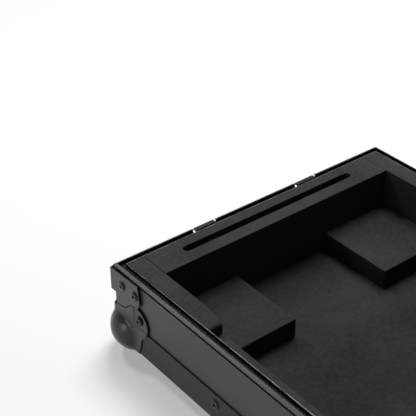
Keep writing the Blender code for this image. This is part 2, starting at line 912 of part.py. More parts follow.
def add_edges(case, latch_rooms):
    mitre_gap = FIT / math.sqrt(2)
    for side, (angle, length, distance) in SIDES.items():
        rim = mitred_bar(side + "_rim", rim_profile(), length, mitre_gap)
        item = case.add(side + "_rim", rim, "black_aluminium", side_matrix(side, 0, rim_z))
        case.cut_with(item, latch_rooms.get(side, []))
        angle_bar = mitred_bar(side + "_bottom_angle", angle_profile(), length, ANGLE_END_RELIEF)
        case.add(side + "_bottom_angle", angle_bar, "black_aluminium", side_matrix(side, 0, base_z), 30)


def add_corners(case):
    upright = corner_angle()
    brace = rim_brace()
    corner_ball = placed(ball_corner(), Matrix.Translation((0, 0, base_z)))
    foot = placed(rubber_foot(), Matrix.Translation((FOOT_INSET, FOOT_INSET, 0)))
    for corner in CORNERS:
        matrix = corner_matrix(corner)
        case.add("corner_angle_" + corner, upright, "black_aluminium", matrix, 30)
        case.add("rim_brace_" + corner, brace, "black_steel", matrix)
        case.add("ball_corner_" + corner, corner_ball, "black_steel", matrix, 30)
        case.add("rubber_foot_" + corner, foot, "rubber", matrix, 40)


def low_edge_outline(low):
    # The left wall's foam, seen from the side: full height at both ends and lowered between.
    end = CASE_DEPTH / 2 - lining_out
    step = CASE_DEPTH / 2 - LOW_EDGE_START
    half = [(end, low), (end, rim_z)]
    steps = 6
    for index in range(steps + 1):
        turn = math.radians(90) * index / steps
        y = step + LOW_EDGE_ROLL * (1 - math.sin(turn))
        z = rim_z - LOW_EDGE_ROLL_DROP * (1 - math.cos(turn))
        half.append((y, z))
    half.append((step, rim_z - LOW_EDGE_DROP))
    return half + [(-y, z) for y, z in reversed(half)]


def rim_room(case, name, depth, drop):
    # The room that the foam leaves for the rim, down to a drop below its top.
    half_x = CASE_WIDTH / 2
    half_y = CASE_DEPTH / 2
    x = half_x - depth - FIT
    y = half_y - depth - FIT
    frame = rectangle(-half_x, half_x, -half_y, half_y)
    room = prism(name, frame, rim_z - drop - FIT, rim_z + drop, "z", rectangle(-x, x, -y, y))
    return case.add_cutter(name, room)


def add_foam(case, latch_rooms, handle_room):
    half_x = CASE_WIDTH / 2
    half_y = CASE_DEPTH / 2
    low = floor_z + FIT
    inner_x = half_x - wall_foam_in
    back_y = half_y - slot_foam_in
    front_y = wall_foam_in - half_y
    edge_x = half_x - lining_out
    edge_y = half_y - lining_out
    rim_rooms = [
        rim_room(case, "rim_lip_room", rim_in, rim_base_drop),
        rim_room(case, "rim_leg_room", rim_leg_in, RIM_LEG_DEPTH),
    ]
    floor_box = box("floor_foam", (-edge_x, -edge_y, floor_foam_low), (edge_x, edge_y, floor_z))
    case.add("floor_foam", floor_box, "foam")
    left = prism("left_foam", low_edge_outline(low), -edge_x, -inner_x, "x")
    case.cut_with(case.add("left_foam", left, "foam"), rim_rooms)
    right = box("right_foam", (inner_x, -edge_y, low), (edge_x, edge_y, rim_z))
    case.cut_with(case.add("right_foam", right, "foam"), rim_rooms + [handle_room])
    between = inner_x - FIT
    front = box("front_foam", (-between, -edge_y, low), (between, front_y, rim_z))
    case.cut_with(case.add("front_foam", front, "foam"), rim_rooms + latch_rooms["front"])
    back = box("slot_foam", (-between, back_y, low), (between, edge_y, rim_z))
    slot = prism(
        "record_slot",
        slot_outline(SLOT_LENGTH, SLOT_WIDTH, (0, half_y - SLOT_FROM_BACK), 6),
        rim_z - SLOT_DEPTH,
        rim_z + SLOT_DEPTH,
    )
    slot_cutter = case.add_cutter("record_slot", slot)
    case.cut_with(case.add("slot_foam", back, "foam"), rim_rooms + [slot_cutter] + latch_rooms["back"])
    wall_x = {-1: -inner_x + FIT, 1: inner_x - FIT}
    wall_y = {-1: front_y + FIT, 1: back_y - FIT}
    for corner, (angle, sx, sy) in CORNERS.items():
        x = sorted((wall_x[sx], wall_x[sx] - sx * BLOCK_SIDE))
        y = sorted((wall_y[sy], wall_y[sy] - sy * BLOCK_SIDE))
        block = box("support_block", (x[0], y[0], low), (x[1], y[1], low + BLOCK_HEIGHT))
        case.add("support_block_" + corner, block, "foam")


def main():
    case = Case()
    latch_rooms = add_latches(case)
    handle_room = add_handle(case)
    add_panels(case, latch_rooms, handle_room)
    add_edges(case, latch_rooms)
    add_corners(case)
    add_foam(case, latch_rooms, handle_room)


main()
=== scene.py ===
import math

import bmesh
import bpy
from mathutils import Matrix, Vector, noise


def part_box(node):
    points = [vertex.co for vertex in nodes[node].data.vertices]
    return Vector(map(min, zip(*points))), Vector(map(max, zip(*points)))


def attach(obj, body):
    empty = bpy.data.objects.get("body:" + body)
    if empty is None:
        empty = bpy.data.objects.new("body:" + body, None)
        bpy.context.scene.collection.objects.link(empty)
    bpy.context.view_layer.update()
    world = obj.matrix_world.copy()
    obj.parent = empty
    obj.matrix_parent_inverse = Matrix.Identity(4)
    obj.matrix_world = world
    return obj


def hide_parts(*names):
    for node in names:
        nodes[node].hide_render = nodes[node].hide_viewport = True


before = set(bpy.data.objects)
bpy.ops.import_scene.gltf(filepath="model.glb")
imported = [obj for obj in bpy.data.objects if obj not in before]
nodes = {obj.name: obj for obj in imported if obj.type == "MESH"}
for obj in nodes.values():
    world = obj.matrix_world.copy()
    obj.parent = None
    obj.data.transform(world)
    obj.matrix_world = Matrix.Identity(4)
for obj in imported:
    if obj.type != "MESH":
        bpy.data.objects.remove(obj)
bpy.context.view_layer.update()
scene = bpy.context.scene
print("frame loaded,", len(nodes), "nodes")

# Outer faces of the edge extrusions, and the levels that the fittings follow.
case = {
    "halfWidth": 0.162,
    "halfDepth": 0.187,
    "underside": 0.012,
    "rimTop": 0.0916,
    "bandHeight": 0.0641,    # middle of the latches and of the handle
    "skinProud": 0.0013,     # braces and ball plates stand this far outside the extrusions
}

# For each side: its turn in degrees, how far out its face is, half its length, the axis that its
# bars run along, and which way its neighbours lie when it is seen from outside.
sides = {
    "front": {"turn": 0, "face": case["halfDepth"], "reach": case["halfWidth"], "axis": 0,
              "towards": {"left": -1, "right": 1}},
    "right": {"turn": 90, "face": case["halfWidth"], "reach": case["halfDepth"], "axis": 1,
              "towards": {"front": -1, "back": 1}},
    "back": {"turn": 180, "face": case["halfDepth"], "reach": case["halfWidth"], "axis": 0,
             "towards": {"left": 1, "right": -1}},
    "left": {"turn": 270, "face": case["halfWidth"], "reach": case["halfDepth"], "axis": 1,
             "towards": {"front": 1, "back": -1}},
}
corners = ("front_left", "front_right", "back_right", "back_left")
latches = ("front_left", "front_right", "back_left", "back_right")


# Camera

camera = {
    "place": (-0.5746, -0.4756, 0.6607),
    "yaw": 38.08,            # degrees to the right of +Y
    "pitch": 33.46,          # degrees down
    "roll": -0.37,
    "lens": 95.77,
    "sensor": 36,
    "clip": (0.01, 30),
}


def addCamera(spec):
    data = bpy.data.cameras.new("photoCamera")
    data.lens = spec["lens"]
    data.sensor_width = spec["sensor"]
    data.clip_start, data.clip_end = spec["clip"]
    item = bpy.data.objects.new("photoCamera", data)
    scene.collection.objects.link(item)
    yaw, pitch, roll = (math.radians(spec[name]) for name in ("yaw", "pitch", "roll"))
    ahead = Vector((math.sin(yaw) * math.cos(pitch), math.cos(yaw) * math.cos(pitch), -math.sin(pitch)))
    flat = Vector((math.cos(yaw), -math.sin(yaw), 0))
    above = flat.cross(ahead)
    right = flat * math.cos(roll) + above * math.sin(roll)
    up = above * math.cos(roll) - flat * math.sin(roll)
    turn = Matrix((right, up, -ahead)).transposed().to_4x4()
    item.matrix_world = Matrix.Translation(spec["place"]) @ turn
    scene.camera = item


# Shader sums written as plain expressions

class Wire:
    def __init__(self, finish, socket):
        self.finish = finish
        self.socket = socket

    def sum(self, operation, *values):
        return self.finish.node("ShaderNodeMath", {"operation": operation}, dict(enumerate(values)))

    def __add__(self, other):
        return self.sum("ADD", self, other)

    def __radd__(self, other):
        return self.sum("ADD", other, self)

    def __rsub__(self, other):
        return self.sum("SUBTRACT", other, self)

    def __mul__(self, other):
        return self.sum("MULTIPLY", self, other)

    def __gt__(self, other):
        return self.sum("GREATER_THAN", self, other)

    def __abs__(self):
        return self.sum("ABSOLUTE", self)


class Finish:
    # The nodes of one material or of the world. node() adds any node, and coat() or show() ends it.
    def __init__(self, owner, output="ShaderNodeOutputMaterial"):
        owner.use_nodes = True
        self.owner = owner
        self.tree = owner.node_tree
        self.tree.nodes.clear()
        self.output = self.tree.nodes.new(output)

    def node(self, kind, settings=None, inputs=None, out=0):
        made = self.tree.nodes.new(kind)
        for name, value in (settings or {}).items():
            if name == "stops":
                for stop, (position, tone) in zip(made.color_ramp.elements, value):
                    stop.position = position
                    stop.color = (tone, tone, tone, 1)
            else:
                setattr(made, name, value)
        for name, value in (inputs or {}).items():
            if isinstance(value, Wire):
                self.tree.links.new(value.socket, made.inputs[name])
            else:
                made.inputs[name].default_value = value
        return Wire(self, made.outputs[out])

    def place(self):
        return self.node("ShaderNodeTexCoord", out="Object")

    def along(self, axis, vector=None):
        return self.node("ShaderNodeSeparateXYZ", None, {0: vector or self.place()}, out=axis)

    def stretched(self, scale):
        return self.node("ShaderNodeMapping", None, {"Vector": self.place(), "Scale": scale})

    def noise(self, scale, detail=3.0, roughness=0.5, vector=None):
        return self.node(
            "ShaderNodeTexNoise",
            None,
            {"Vector": vector or self.place(), "Scale": scale, "Detail": detail, "Roughness": roughness},
        )

    def rise(self, value, start, end):
        # Black up to the start, white from the end.
        return self.node("ShaderNodeValToRGB", {"stops": ((start, 0), (end, 1))}, {"Fac": value})

    def tint(self, share, first, second):
        pair = [tone if isinstance(tone, Wire) else (*tone, 1) for tone in (first, second)]
        return self.node("ShaderNodeMix", {"data_type": "RGBA"}, {0: share, 6: pair[0], 7: pair[1]}, out=2)

    def bump(self, height, distance, strength):
        return self.node(
            "ShaderNodeBump", None, {"Height": height, "Distance": distance, "Strength": strength}
        )

    def rays(self, kind):
        return self.node("ShaderNodeLightPath", out=f"Is {kind} Ray")

    def blend(self, share, first, second):
        return self.node("ShaderNodeMixShader", None, {0: share, 1: first, 2: second})

    def coat(self, **surface):
        sockets = {name.replace("_", " "): value for name, value in surface.items()}
        return self.show(self.node("ShaderNodeBsdfPrincipled", None, sockets))

    def show(self, shader):
        self.tree.links.new(shader.socket, self.output.inputs["Surface"])
        return self.owner


def newFinish(name):
    return Finish(bpy.data.materials.new(name))


# Finishes. A relief is the share of its depth that the bump shows, and a pair of roughness numbers
# is the least and what the haze adds to it.

foamLook = {
    "dark": (0.021, 0.021, 0.022),
    "light": (0.046, 0.046, 0.047),
    "cellsPerMetre": 1100,
    "grainPerMetre": 2600,
    "mottlePerMetre": 260,
    "cloudPerMetre": 14,
    "toneShares": (0.45, 0.35, 0.2),     # of cloud, mottle and grain in the tone
    "toneRange": (0.36, 0.64),
    "depthShares": (0.5, 0.2, 0.5),      # of cells, grain and mottle in the surface
    "depth": 0.00016,
    "relief": 0.7,
    "roughness": (0.86, 0.1),            # the second is what the grain adds
    "gloss": 0.08,
}


def foamFinish(name, paintedLightFactor):
    look = foamLook
    finish = newFinish(name)
    # painted light and shade: the whole foam tone is scaled lighter or darker for each copy
    dark = [tone * paintedLightFactor for tone in look["dark"]]
    light = [tone * paintedLightFactor for tone in look["light"]]
    cells = finish.node(
        "ShaderNodeTexVoronoi", {"feature": "F1"}, {"Vector": finish.place(), "Scale": look["cellsPerMetre"]}
    )
    grain = finish.noise(look["grainPerMetre"], 2)
    mottle = finish.noise(look["mottlePerMetre"], 4, 0.6)
    cloud = finish.noise(look["cloudPerMetre"], 4)
    first, second, third = look["toneShares"]
    tone = cloud * first + mottle * second + grain * third
    first, second, third = look["depthShares"]
    surface = cells * first + grain * second + mottle * third
    least, more = look["roughness"]
    return finish.coat(
        Base_Color=finish.tint(finish.rise(tone, *look["toneRange"]), dark, light),
        Roughness=least + grain * more,
        Specular_IOR_Level=look["gloss"],
        Normal=finish.bump(surface, look["depth"], look["relief"]),
    )


laminateLook = {
    "dark": (0.020, 0.020, 0.021),
    "light": (0.028, 0.028, 0.029),
    "grainPerMetre": 1500,
    "hazePerMetre": 9,
    "depth": 0.00004,
    "relief": 0.6,
    "roughness": (0.34, 0.12),
    "grainRoughness": 0.05,
}


def laminateFinish(name):
    look = laminateLook
    finish = newFinish(name)
    grain = finish.noise(look["grainPerMetre"], 2)
    haze = finish.noise(look["hazePerMetre"], 5, 0.6)
    least, more = look["roughness"]
    return finish.coat(
        Base_Color=finish.tint(haze, look["dark"], look["light"]),
        Roughness=least + haze * more + grain * look["grainRoughness"],
        Normal=finish.bump(grain, look["depth"], look["relief"]),
    )


aluminiumLook = {
    "dark": (0.014, 0.014, 0.015),
    "light": (0.024, 0.024, 0.025),
    "hazePerMetre": 22,
    "linesPerMetre": 2200,
    "stretch": 0.012,        # the drawn lines run this much slower along the bar
    "depth": 0.00001,
    "relief": 0.15,
    "roughness": (0.33, 0.10),
    "lineRoughness": 0.08,
    "gloss": 0.4,
    "metallic": 0.35,
    "wornLipHighlight": (0.11, 0.11, 0.11),
    "lipWearAndHighlightDepth": 0.00012,    # rub wear and a painted highlight lie on the lip's top this far down
    "rubPerMetre": 70,
    "rubRange": (0.30, 0.60),
    # painted shade: the groove between the flange and the lip is tinted near black, between these depths in
    # and below the rim's top
    "grooveShade": (0.004, 0.004, 0.004),
    "grooveShadeDepths": (0.0033, 0.0089),    # in from the bar's outer face
    "grooveShadeBelow": 0.0003,               # and below the rim's top
    # painted highlight: a paler tone on the flange's outer shoulder stands in for its sheen
    "shoulderSheen": (0.062, 0.062, 0.063),
    "shoulderSheenBelow": 0.0030,             # the shoulder's painted sheen ends this far below the top
    "shoulderSheenShares": (0.6, 0.4),        # of it everywhere, and with the haze
}


def aluminiumFinish(name, axis):
    look = aluminiumLook
    finish = newFinish(name)
    scale = [1.0, 1.0, 1.0]
    scale[axis] = look["stretch"]
    lines = finish.noise(look["linesPerMetre"], 2, 0.5, finish.stretched(scale))
    haze = finish.noise(look["hazePerMetre"], 4)
    height = finish.along("Z")
    # the lip's top is paler in patches: partly rub wear from the lid, partly a painted highlight
    lip = height > case["rimTop"] - look["lipWearAndHighlightDepth"]
    lipWearAndHighlight = lip * finish.rise(finish.noise(look["rubPerMetre"], 4), *look["rubRange"])
    plain = finish.tint(haze, look["dark"], look["light"])
    if axis < 2:
        across = finish.along("YX"[axis])
        half = (case["halfDepth"], case["halfWidth"])[axis]
        depth = half - abs(across)
        # painted shade: the groove's walls and floor take the near-black tone
        start, end = look["grooveShadeDepths"]
        inner = depth > start
        sunk = inner * (1 - (depth > end)) * (1 - (height > case["rimTop"] - look["grooveShadeBelow"]))
        plain = finish.tint(sunk, plain, look["grooveShade"])
        # painted highlight: the outer shoulder near the top is made paler, partly evenly and partly with the
        # haze
        edge = (1 - inner) * (height > case["rimTop"] - look["shoulderSheenBelow"])
        always, hazed = look["shoulderSheenShares"]
        plain = finish.tint(edge * (always + haze * hazed), plain, look["shoulderSheen"])
    least, more = look["roughness"]
    return finish.coat(
        Base_Color=finish.tint(lipWearAndHighlight, plain, look["wornLipHighlight"]),
        Specular_IOR_Level=look["gloss"],
        Metallic=look["metallic"],
        Roughness=least + haze * more + lines * look["lineRoughness"],
        Normal=finish.bump(lines, look["depth"], look["relief"]),
    )


steelLook = {
    "dark": (0.012, 0.012, 0.012),
    "light": (0.022, 0.022, 0.022),
    "peelPerMetre": 700,
    "hazePerMetre": 40,
    "depth": 0.00006,
    "relief": 0.7,
    "roughness": (0.26, 0.16),
    "gloss": 0.4,
    "metallic": 0.2,
    "lacquer": 0.12,
    "lacquerRoughness": 0.18,
}


def steelFinish(name):
    look = steelLook
    finish = newFinish(name)
    peel = finish.noise(look["peelPerMetre"], 2)
    haze = finish.noise(look["hazePerMetre"], 4)
    least, more = look["roughness"]
    return finish.coat(
        Base_Color=finish.tint(haze, look["dark"], look["light"]),
        Specular_IOR_Level=look["gloss"],
        Coat_Weight=look["lacquer"],
        Coat_Roughness=look["lacquerRoughness"],
        Metallic=look["metallic"],
        Roughness=least + haze * more,
        Normal=finish.bump(peel, look["depth"], look["relief"]),
    )


rubberLook = {
    "dark": (0.018, 0.018, 0.018),
    "light": (0.030, 0.030, 0.030),
    "grainPerMetre": 1800,
    "hazePerMetre": 60,
    "depth": 0.00005,
    "relief": 0.6,
    "roughness": (0.62, 0.2),
}


def rubberFinish(name):
    look = rubberLook
    finish = newFinish(name)
    grain = finish.noise(look["grainPerMetre"], 3)
    haze = finish.noise(look["hazePerMetre"], 4)
    least, more = look["roughness"]
    return finish.coat(
        Base_Color=finish.tint(haze, look["dark"], look["light"]),
        Roughness=least + haze * more,
        Normal=finish.bump(grain, look["depth"], look["relief"]),
    )


springLook = {
    "dark": (0.42, 0.42, 0.43),
    "light": (0.58, 0.58, 0.58),
    "hazePerMetre": 300,
    "depth": 0.00001,
    "relief": 0.4,
    "roughness": (0.22, 0.16),
}


def springFinish(name):
    look = springLook
    finish = newFinish(name)
    haze = finish.noise(look["hazePerMetre"], 3)
    least, more = look["roughness"]
    return finish.coat(
        Base_Color=finish.tint(haze, look["dark"], look["light"]),
        Metallic=1.0,
        Roughness=least + haze * more,
        Normal=finish.bump(haze, look["depth"], look["relief"]),
    )


# Each look has the material slot that it stands for, and its material.
looks = {
    # The three foam looks are one foam: painted lighter on the walls and darker on the floor and the blocks,
    # as painted light and shade.
    "wallFoamPaintedLighter": ("foam", foamFinish("wallFoamPaintedLighter", 1.15)),
    "floorFoamPaintedShade": ("foam", foamFinish("floorFoamPaintedShade", 0.82)),
    "blockFoamPaintedShade": ("foam", foamFinish("blockFoamPaintedShade", 0.92)),
    "laminate": ("laminate", laminateFinish("blackLaminate")),
    "alongX": ("black_aluminium", aluminiumFinish("blackAluminiumAlongX", 0)),
    "alongY": ("black_aluminium", aluminiumFinish("blackAluminiumAlongY", 1)),
    "upright": ("black_aluminium", aluminiumFinish("blackAluminiumUpright", 2)),
    "steel": ("black_steel", steelFinish("blackPressedSteel")),
    "rubber": ("rubber", rubberFinish("blackRubber")),
    "spring": ("spring_steel", springFinish("brightSpringWire")),
}
barLooks = ("alongX", "alongY")
print("finishes made")


# Tools shared by the pieces

closeness = {
    "merge": 0.000002,       # points this near are one
    "cut": 0.00002,          # a cut this near a point goes through it
    "flat": 0.5,             # faces that turn by fewer degrees are one
    "sharp": 35,             # edges that turn by more degrees are eased
}


def asPiece(name, work, look, body="shell", smoothAngle=None):
    slotName, material = looks[look]
    mesh = bpy.data.meshes.new(name)
    work.to_mesh(mesh)
    work.free()
    mesh.materials.append(material)
    if smoothAngle:
        mesh.shade_smooth()
        mesh.set_sharp_from_angle(angle=math.radians(smoothAngle))
    item = bpy.data.objects.new(name, mesh)
    scene.collection.objects.link(item)
    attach(item, body)
    return item


def mergedCopy(node, wholeFaces=True):
    # A closed copy of a frame node: doubles merged, and flat faces made whole again.
    work = bmesh.new()
    work.from_mesh(nodes[node].data)
    bmesh.ops.remove_doubles(work, verts=work.verts, dist=closeness["merge"])
    if wholeFaces:
        bmesh.ops.dissolve_limit(
            work,
            angle_limit=math.radians(closeness["flat"]),
            verts=work.verts,
            edges=work.edges,
            use_dissolve_boundaries=False,
        )
    return work


def addFlatNormals(item):
    # Large faces keep a flat look, and only the eased edges turn.
    item.modifiers.new("flatNormals", "WEIGHTED_NORMAL").keep_sharp = True


def addBevel(item, width, segments, sharp=closeness["sharp"]):
    bevel = item.modifiers.new("softEdges", "BEVEL")
    bevel.width = width
    bevel.segments = segments
    bevel.limit_method = "ANGLE"
    bevel.angle_limit = math.radians(sharp)
    bevel.use_clamp_overlap = True
    item.data.shade_smooth()
    addFlatNormals(item)


def sidePlace(side, along, out, height):
    # A point on a side: along it, outwards from its extrusion's face, and up.
    turn = Matrix.Rotation(math.radians(sides[side]["turn"]), 4, "Z")
    place = Matrix.Translation((along, -sides[side]["face"] - out, height))
    return turn @ place @ Matrix.Rotation(math.radians(90), 4, "X")


def cornerPoint(corner, inset=0.0):
    # A corner of the case from above, or the point this far in from both its faces.
    x = case["halfWidth"] - inset
    y = case["halfDepth"] - inset
    return (-x if "left" in corner else x, -y if "front" in corner else y)


# Foam: a copy of each solid is sliced into a net, made slightly uneven, and its edges are eased.

foam = {
    "looks": {
        # the walls take the foam painted lighter, the floor the foam painted darker as shade
        "floor_foam": "floorFoamPaintedShade",
        "left_foam": "wallFoamPaintedLighter",
        "right_foam": "wallFoamPaintedLighter",
        "front_foam": "wallFoamPaintedLighter",
        "slot_foam": "wallFoamPaintedLighter",
    },
    "net": 0.009,            # least distance between the cuts
    "unevenness": 0.00022,   # the surface goes in by up to this much
    "wave": 24,              # waves per metre
    "seed": 5,               # of the waves, so that each run gives the same foam
    "edge": 0.0007,
    "edgeSegments": 3,
}


def sliceNet(work, low, high, step):
    for axis in range(3):
        count = int((high[axis] - low[axis]) / step)
        normal = Vector((0, 0, 0))
        normal[axis] = 1
        for index in range(1, count):
            cutPlace = Vector(low)
            cutPlace[axis] = low[axis] + (high[axis] - low[axis]) * index / count
            bmesh.ops.bisect_plane(
                work,
                geom=work.verts[:] + work.edges[:] + work.faces[:],
                plane_co=cutPlace,
                plane_no=normal,
                dist=closeness["cut"],
            )


def addFoam(node, look):
    work = mergedCopy(node)
    low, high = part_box(node)
    sliceNet(work, low, high, foam["net"])
    for vert in work.verts:
        sample = noise.noise_vector(vert.co * foam["wave"])
        inward = ((low + high) / 2 - vert.co).normalized()
        vert.co += inward * foam["unevenness"] * (0.5 + 0.5 * sample.x)
    item = asPiece(node + "_cut", work, look)
    addBevel(item, foam["edge"], foam["edgeSegments"])
    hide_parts(node)


noise.seed_set(foam["seed"])
for node, look in foam["looks"].items():
    addFoam(node, look)
for corner in corners:
    addFoam("support_block_" + corner, "blockFoamPaintedShade")
print("foam cut")


# Rims: the outer flange falls outwards, so that the lid finds its seat.

rim = {
    "outerEdge": 0.0005,     # the flange's edge is drawn in this far from the bar's outer face
    "flange": 0.0012,        # all of the flange lies less than this below the rim's top
    "skin": 0.0006,          # and its upper face less than this
    "top": 0.0016,           # the outer edge's upper line comes to lie this far below the rim's top
    "low": 0.0023,           # and its lower line this far
    "mitreGap": 0.0005,      # a point this near the mitre belongs to it
    "edge": 0.00022,
    "edgeSegments": 2,
    "edgeSharp": 20,         # edges that turn by fewer degrees stay as they are
    "shortest": 0.004,       # and so do shorter ones
    "aligned": 0.99,         # and those that run less along the bar
    "smoothAngle": 50,
}


def slopeFlange(work, across):
    half = (case["halfWidth"], case["halfDepth"])
    along = 1 - across
    for vert in work.verts:
        depth = half[across] - abs(vert.co[across])
        drop = case["rimTop"] - vert.co.z
        if depth > 0 or drop > rim["flange"]:
            continue
        shift = rim["outerEdge"] - depth
        mitred = abs(half[along] - abs(vert.co[along]) - depth) < rim["mitreGap"]
        vert.co[across] -= math.copysign(shift, vert.co[across])
        if mitred:
            vert.co[along] -= math.copysign(shift, vert.co[along])
        vert.co.z = case["rimTop"] - (rim["top"] if drop < rim["skin"] else rim["low"])


def bevelAlong(work, axis):
    # Eases only the edges that run along the bar, so that its mitred ends stay true.
    edges = []
    for edge in work.edges:
        run = edge.verts[1].co - edge.verts[0].co
        if abs(run[axis]) > rim["aligned"] * run.length and len(edge.link_faces) == 2:
            if edge.calc_face_angle(0) > math.radians(rim["edgeSharp"]) and run.length > rim["shortest"]:
                edges.append(edge)
    bmesh.ops.bevel(
        work,
        geom=edges,
        offset=rim["edge"],
        offset_type="OFFSET",
        segments=rim["edgeSegments"],
        profile=0.5,
        affect="EDGES",
        clamp_overlap=True,
        material=-1,
    )


def addRim(side):
    axis = sides[side]["axis"]
    node = side + "_rim"
    work = mergedCopy(node)
    slopeFlange(work, 1 - axis)
    bevelAlong(work, axis)
    item = asPiece(node + "_eased", work, barLooks[axis], smoothAngle=rim["smoothAngle"])
    addFlatNormals(item)
    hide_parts(node)


for side in sides:
    addRim(side)
print("rims sloped")


# Other hard pieces: copies of the solids with eased edges, this wide

easing = {
    "angleBar": 0.00022,
    "brace": 0.0003,
    "foot": 0.0008,
    "handle": 0.0003,
    "grip": 0.0005,
    "latchDish": 0.00025,
    "latchPart": 0.0002,
    "panel": 0.0003,
    "segments": 2,
    "gripSharp": 55,         # degrees, so that the grip's soft ribs stay as they are
}


def addEased(node, look, width, body="shell", sharp=closeness["sharp"]):
    item = asPiece(node + "_eased", mergedCopy(node), look, body)
    addBevel(item, width, easing["segments"], sharp)
    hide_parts(node)


for side in ("front", "back", "left", "right"):
    addEased(side + "_bottom_angle", barLooks[sides[side]["axis"]], easing["angleBar"])
for corner in corners:
    addEased("corner_angle_" + corner, "upright", easing["angleBar"])
for corner in corners:
    addEased("rim_brace_" + corner, "steel", easing["brace"])
    addEased("rubber_foot_" + corner, "rubber", easing["foot"])
addEased("handle_dish", "steel", easing["handle"])
addEased("handle_bail", "steel", easing["handle"], "handle")
addEased("handle_grip", "rubber", easing["grip"], "handle", easing["gripSharp"])
for latch in latches:
    addEased(f"latch_{latch}_dish", "steel", easing["latchDish"])
    for piece in ("claw", "spindle", "wing"):
        name = f"latch_{latch}_{piece}"
        addEased(name, "steel", easing["latchPart"], name + "_body")
for side in (*sides, "bottom"):
    addEased(side + "_panel", "laminate", easing["panel"])
print("edges eased")


# Springs: wound a little shorter than the solids, so that the raised bail clears the last coil.

spring = {
    "shorter": 0.86,
    "smoothAngle": 50,
}


def addSpring(node):
    work = mergedCopy(node, wholeFaces=False)
    low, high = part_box(node)
    outer = low[1] if low[1] + high[1] < 0 else high[1]     # the end that stays in its place
    move = Matrix.Translation((0, outer, 0)) @ Matrix.Diagonal((1, spring["shorter"], 1, 1))
    bmesh.ops.transform(work, matrix=move @ Matrix.Translation((0, -outer, 0)), verts=work.verts)
    item = asPiece(node + "_wound", work, "spring", smoothAngle=spring["smoothAngle"])
    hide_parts(node)


for end in ("front", "back"):
    addSpring("handle_spring_" + end)
print("springs wound")


# Ball corners: the ball is drawn out of the sheet with a soft neck, so it has no hard line round it.

ballCorner = {
    "grid": 0.0007,
    "centre": 0.014,         # of the ball, in from each face
    "radius": 0.0245,
    "onBall": 0.8,           # points within this much of the grid from the ball go onto it
    "neck": 0.0042,          # half the width of the softened band
    "neckOut": 0.003,        # the band reaches this far outside the plate's outer face
    "neckIn": 0.006,         # and this far inside it
    "neckPasses": 40,
    "fold": 0.006,           # how far the softened bend reaches from the case's edge
    "foldPasses": 30,
    "edgePasses": 2,
    "padStart": 0.0315,      # the lobes are pressed down past the legs of the edge angles
    "padRun": 0.0016,
    "padDepth": 0.0006,
    "smoothAngle": 60,
}


def cornerTurn(corner):
    # Takes a piece drawn for the front left corner to another corner.
    angle = 90 * corners.index(corner)
    back = Matrix.Translation((case["halfWidth"], case["halfDepth"], 0))
    there = Matrix.Translation((*cornerPoint(corner), 0))
    return there @ Matrix.Rotation(math.radians(angle), 4, "Z") @ back


def remeshed(work, grid):
    mesh = bpy.data.meshes.new("remeshWork")
    work.to_mesh(mesh)
    work.free()
    item = bpy.data.objects.new("remeshWork", mesh)
    scene.collection.objects.link(item)
    modifier = item.modifiers.new("grid", "REMESH")
    modifier.mode = "VOXEL"
    modifier.voxel_size = grid
    bpy.context.view_layer.update()
    result = item.evaluated_get(bpy.context.evaluated_depsgraph_get()).to_mesh()
    made = bmesh.new()
    made.from_mesh(result)
    bpy.data.objects.remove(item)
    return made


def ease(work, verts, passes):
    for _ in range(passes):
        bmesh.ops.smooth_vert(work, verts=verts, factor=0.5, use_axis_x=True, use_axis_y=True, use_axis_z=True)


def pressPads(work, origin, spec):
    # On each face, the part of the lobe past both edge angles lies a little deeper.
    for vert in work.verts:
        inside = vert.co - origin
        for axis in range(3):
            others = [inside[other] for other in range(3) if other != axis]
            share = min(max((min(others) - spec["padStart"]) / spec["padRun"], 0), 1)
            vert.co[axis] += spec["padDepth"] * share * share * (3 - 2 * share)


def inNeck(reach, level, ring, spec):
    # True in the bands round the three circles where the ball leaves the plates.
    for axis in range(3):
        flat = Vector(reach)
        flat[axis] = 0
        near = abs(flat.length - ring) < spec["neck"]
        if near and -level - spec["neckOut"] < reach[axis] < -level + spec["neckIn"]:
            return True
    return False


def addBallCorners(spec):
    first = remeshed(mergedCopy("ball_corner_front_left"), spec["grid"])
    origin = Vector((*cornerPoint("front_left"), case["underside"]))
    centre = origin + Vector((spec["centre"],) * 3)
    level = spec["centre"] + case["skinProud"]
    ring = math.sqrt(spec["radius"] ** 2 - level ** 2)
    band = []
    for vert in first.verts:
        reach = vert.co - centre
        if abs(reach.length - spec["radius"]) < spec["grid"] * spec["onBall"] and max(reach) < spec["centre"]:
            vert.co = centre + reach.normalized() * spec["radius"]
        if inNeck(reach, level, ring, spec):
            band.append(vert)
    fold = [vert for vert in first.verts if sorted(vert.co - origin)[1] < spec["fold"]]
    ease(first, band, spec["neckPasses"])
    ease(first, fold, spec["foldPasses"])
    pressPads(first, origin, spec)
    ease(first, first.verts, spec["edgePasses"])
    for corner in corners:
        work = first.copy()
        bmesh.ops.transform(work, matrix=cornerTurn(corner), verts=work.verts)
        item = asPiece("ball_corner_pressed_" + corner, work, "steel", smoothAngle=spec["smoothAngle"])
        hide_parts("ball_corner_" + corner)
    first.free()


addBallCorners(ballCorner)
print("ball corners pressed")


# Rivet heads: a shallow dome round the end of its drawn pin

rivet = {
    "radius": 0.0046,
    "height": 0.0018,
    "hole": 0.0015,
    "holeDepth": 0.0012,
    "pin": 0.6,              # the pin's radius, as a share of the hole's
    "lip": 0.0002,           # width of the hole's lip, and how far the pin's middle stands up
    "wall": 0.93,            # height of the hole's wall, as a share of the head's
    "skirt": 0.22,           # height of the dome's foot, as a share of the head's
    "sunk": 0.0004,          # the head goes this far into its plate
    "domeSteps": 5,
    "steps": 24,
    "smoothAngle": 35,
}
smallRivet = dict(rivet, radius=0.0026, height=0.0009, hole=0.0008, holeDepth=0.0005, steps=20)


